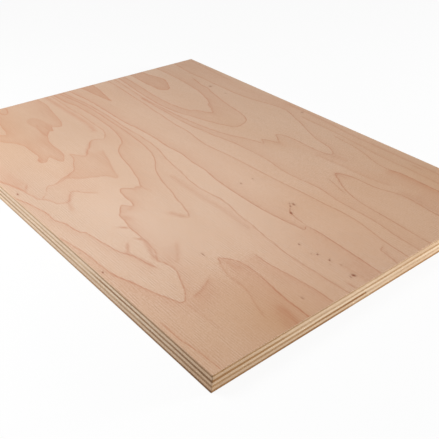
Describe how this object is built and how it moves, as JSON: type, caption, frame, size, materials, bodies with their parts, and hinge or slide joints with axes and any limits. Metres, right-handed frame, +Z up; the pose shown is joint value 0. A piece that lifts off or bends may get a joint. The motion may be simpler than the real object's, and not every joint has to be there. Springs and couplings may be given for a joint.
{
  "type": "plywood sheet",
  "caption": "Flat rectangular plywood sheet of cross-laid veneers with a rotary-cut hardwood face, sawn square with lightly eased edges, for shelving, furniture and boxes.",
  "frame": {"origin": "middle of the back face, which lies on the floor", "axes": "+X along the face grain and the sheet's length, +Y across the grain, +Z up out of the good face"},
  "size_m": [0.6, 0.45, 0.02],
  "materials": {
    "face_wood": "sanded, unfinished rotary-cut hardwood veneer",
    "long_wood": "sawn edge of the darker plies that run with the face",
    "cross_wood": "sawn edge of the paler plies that run across the face"
  },
  "bodies": {
    "root": {"face_veneer": "face_wood", "upper_crossband": "cross_wood", "upper_long_ply": "long_wood", "core_ply": "cross_wood", "lower_long_ply": "long_wood", "lower_crossband": "cross_wood", "back_veneer": "face_wood"}
  },
  "joints": []
}
